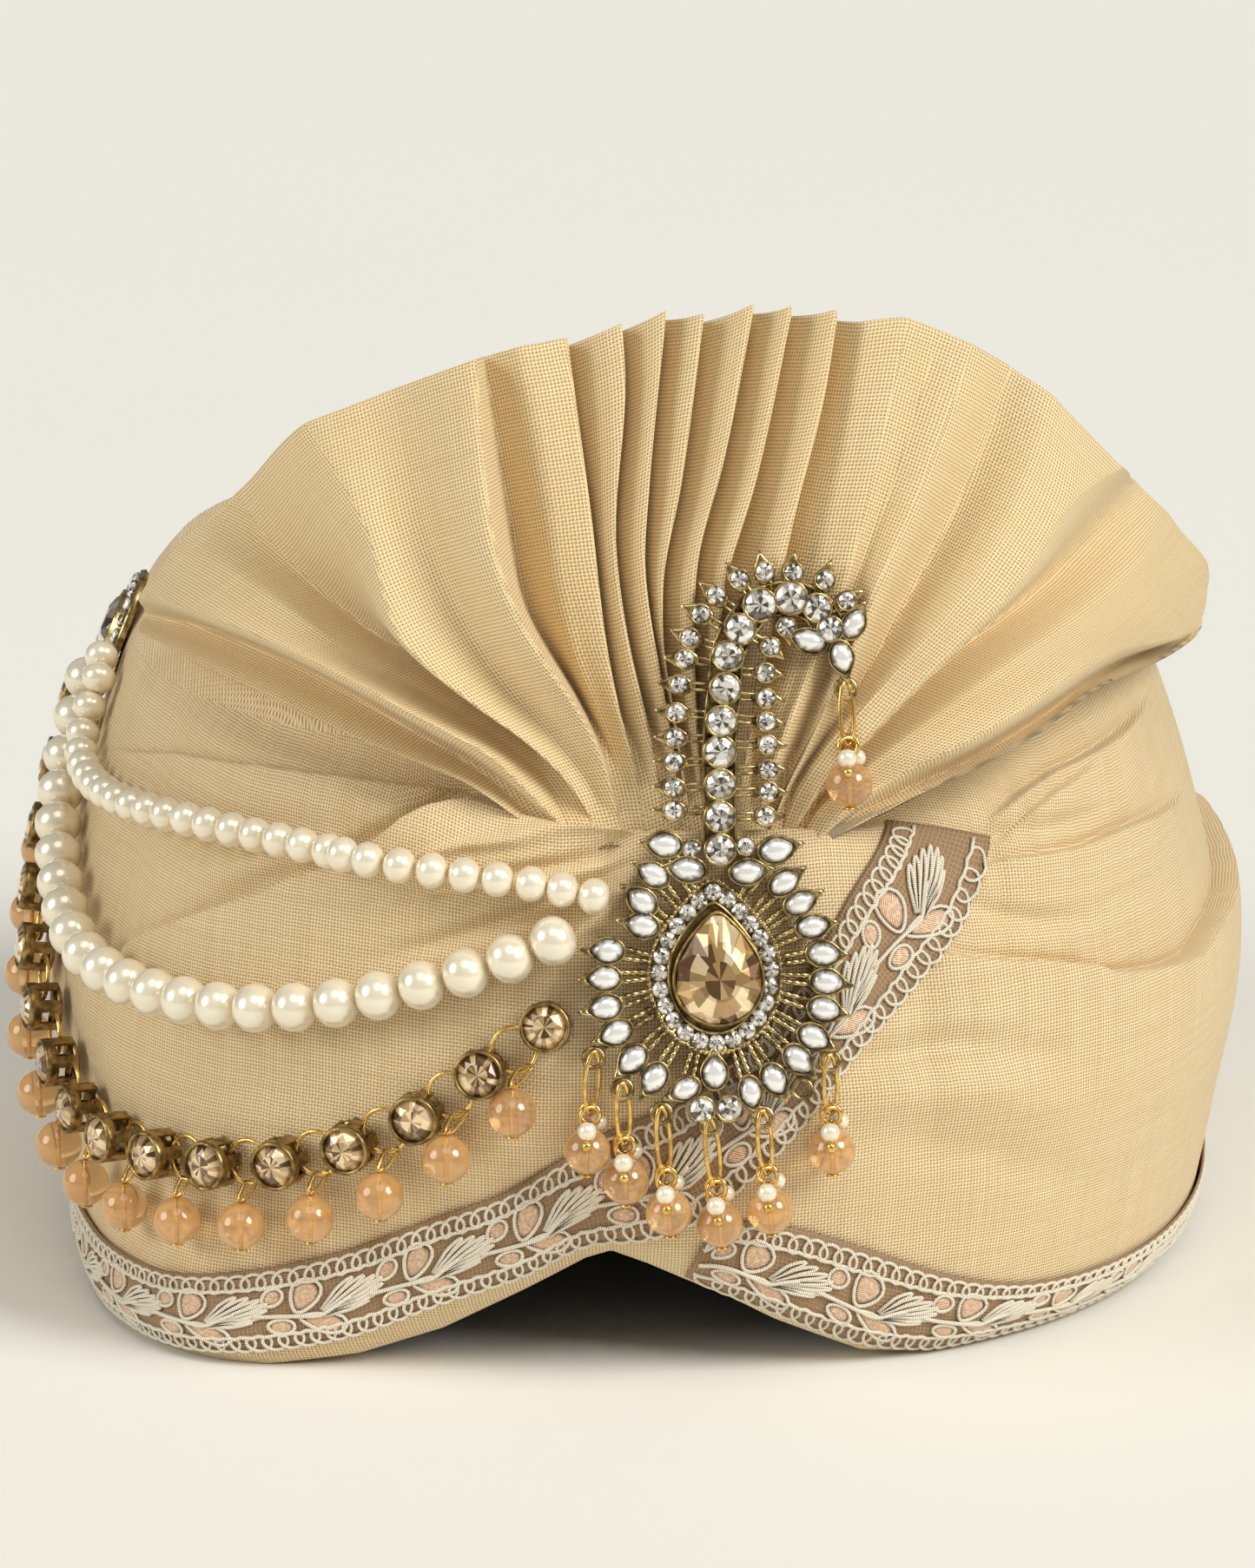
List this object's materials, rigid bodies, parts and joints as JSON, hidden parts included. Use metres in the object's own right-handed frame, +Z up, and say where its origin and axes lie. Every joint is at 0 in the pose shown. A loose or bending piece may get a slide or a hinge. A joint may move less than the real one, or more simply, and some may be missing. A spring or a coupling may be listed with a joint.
{
  "type": "tied turban (pagri)",
  "caption": "Ready-tied wedding turban: wound cloth body, pleated fan, lace rim, jewelled brooch with drops, pearl strings and a stone chain.",
  "frame": {"origin": "middle of the bounding box, on the surface the rim rests on", "axes": "+Z up, the front with the brooch faces -Y, +X is the viewer's right seen from the front"},
  "size_m": [0.2325, 0.2634, 0.1886],
  "materials": {
    "cloth": "golden beige plain weave",
    "fan_cloth": "golden beige open plain weave",
    "lace": "mauve brown net with silver white cord embroidery",
    "antique_gold": "antique gold plating with clear stones",
    "champagne_stone": "faceted champagne stone",
    "side_gold": "antique gold setting with a smoky stone",
    "pearl": "cream pearl lustre",
    "antique_brass": "antique brass cups with champagne stones",
    "drop_glass": "peach lustre glass bead on gold wire"
  },
  "bodies": {
    "root": {"turban_body": "cloth", "fan": "fan_cloth", "lace_left": "lace", "lace_right": "lace", "brooch_frame": "antique_gold", "centre_stone": "champagne_stone", "side_brooch": "side_gold", "pearl_string_lower": "pearl", "pearl_string_upper": "pearl", "stone_chain": "antique_brass", "drop_1": "drop_glass", "drop_2": "drop_glass", "drop_3": "drop_glass", "drop_4": "drop_glass", "drop_5": "drop_glass", "drop_6": "drop_glass", "hook_drop": "drop_glass"}
  },
  "joints": []
}
